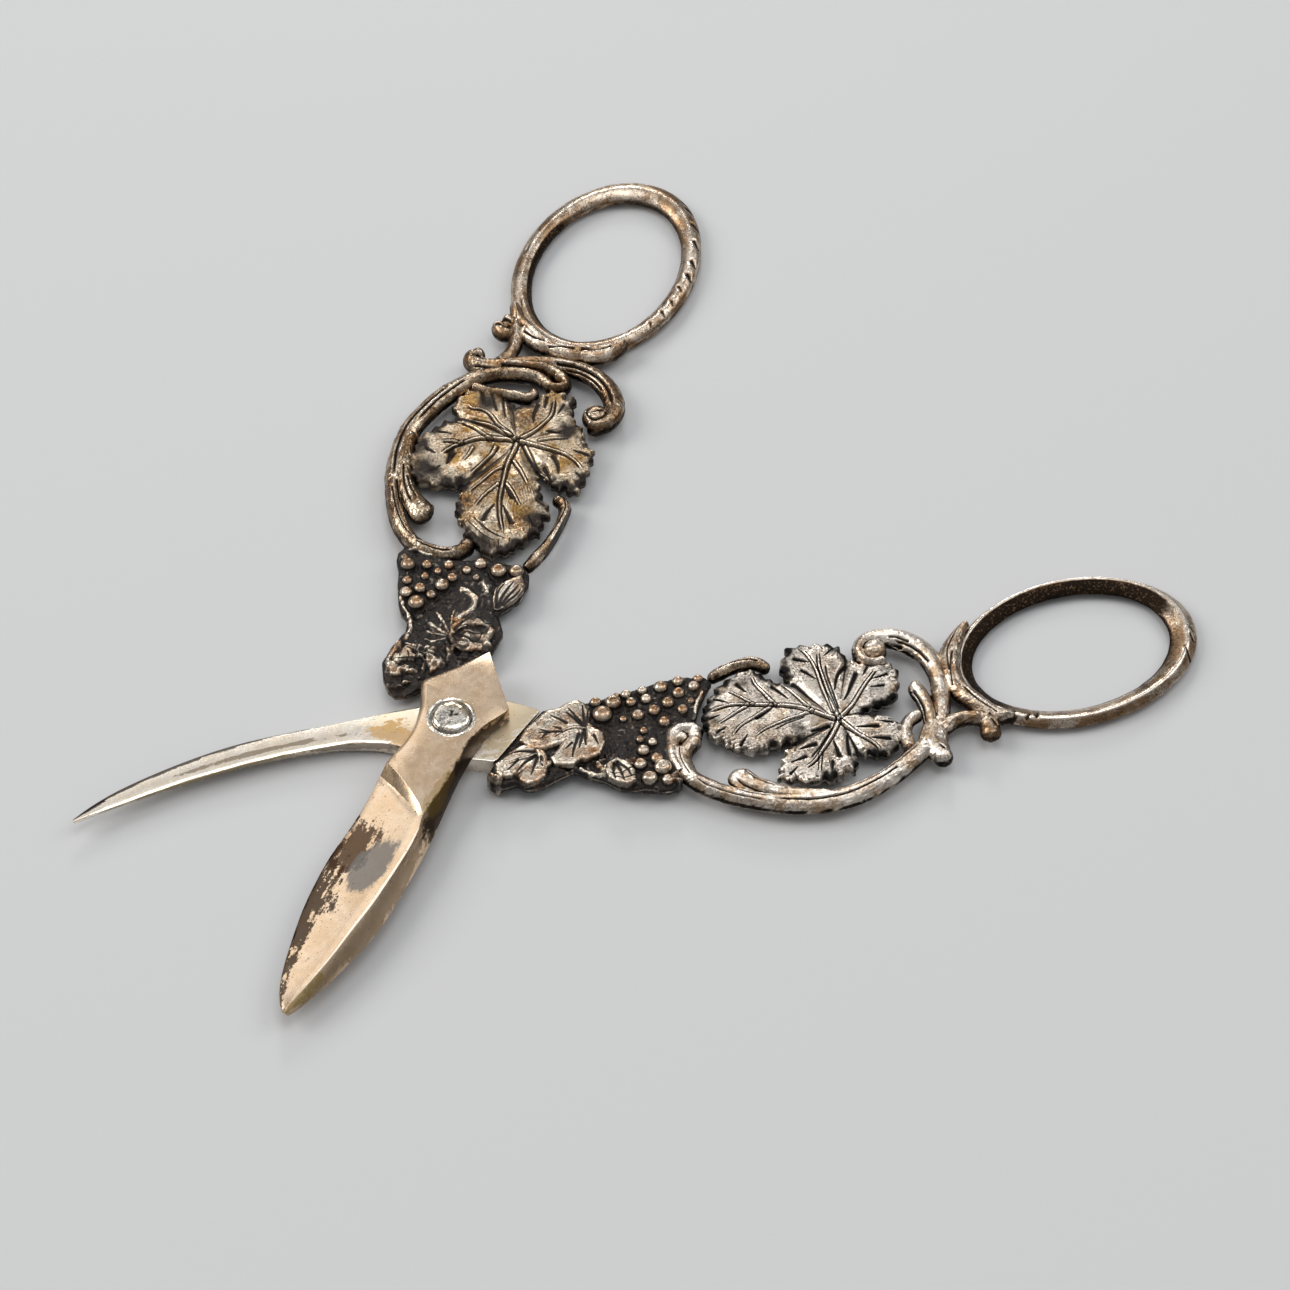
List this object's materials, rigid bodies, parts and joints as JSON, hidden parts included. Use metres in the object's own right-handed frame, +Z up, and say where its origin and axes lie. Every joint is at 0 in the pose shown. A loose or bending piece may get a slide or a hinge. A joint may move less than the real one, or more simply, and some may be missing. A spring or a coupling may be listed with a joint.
{
  "type": "grape shears",
  "caption": "Table shears for cutting grape stalks: two pierced vine-leaf handles with oval finger bows, a broad and a hooked blade on one rivet.",
  "frame": {"origin": "on the rivet's axis, at the table that the shears lie on", "axes": "+X from the rivet to the blade tips, midway between the two open halves; +Z up, from the hooked blade to the broad blade on top"},
  "size_m": [0.1483, 0.13, 0.0067],
  "materials": {
    "blade_silver": "worn bright, with brown tarnish",
    "leaf_silver": "cast and chased, dark in the hollows",
    "scroll_silver": "cast and polished, dark in the hollows",
    "panel_silver": "cast, oxidised nearly black around bright berries",
    "bow_silver": "polished by use, brown tarnish inside",
    "rivet_silver": "bright, hammered"
  },
  "bodies": {
    "hooked_half": {"hooked_blade": "blade_silver", "hooked_bow_collar": "bow_silver", "hooked_bow_scroll": "scroll_silver", "hooked_edge_leaf": "panel_silver", "hooked_finger_bow": "bow_silver", "hooked_grape_panel": "panel_silver", "hooked_inner_scroll": "scroll_silver", "hooked_outer_scroll": "scroll_silver", "hooked_small_leaf_1": "panel_silver", "hooked_small_leaf_2": "panel_silver", "hooked_stem": "scroll_silver", "hooked_strut_scroll": "scroll_silver", "hooked_tendril": "scroll_silver", "hooked_vine_leaf": "leaf_silver", "pivot_rivet": "rivet_silver"},
    "broad_half": {"broad_blade": "blade_silver", "broad_bow_collar": "bow_silver", "broad_bow_scroll": "scroll_silver", "broad_edge_leaf": "panel_silver", "broad_finger_bow": "bow_silver", "broad_grape_panel": "panel_silver", "broad_inner_scroll": "scroll_silver", "broad_outer_scroll": "scroll_silver", "broad_small_leaf_1": "panel_silver", "broad_small_leaf_2": "panel_silver", "broad_stem": "scroll_silver", "broad_strut_scroll": "scroll_silver", "broad_tendril": "scroll_silver", "broad_vine_leaf": "leaf_silver"}
  },
  "joints": [
    {"name": "rivet_pivot", "type": "hinge", "parent": "hooked_half", "child": "broad_half", "pos_m": [0, 0, 0], "axis": [0, 0, 1], "range_deg": [-49.5, 18]}
  ]
}
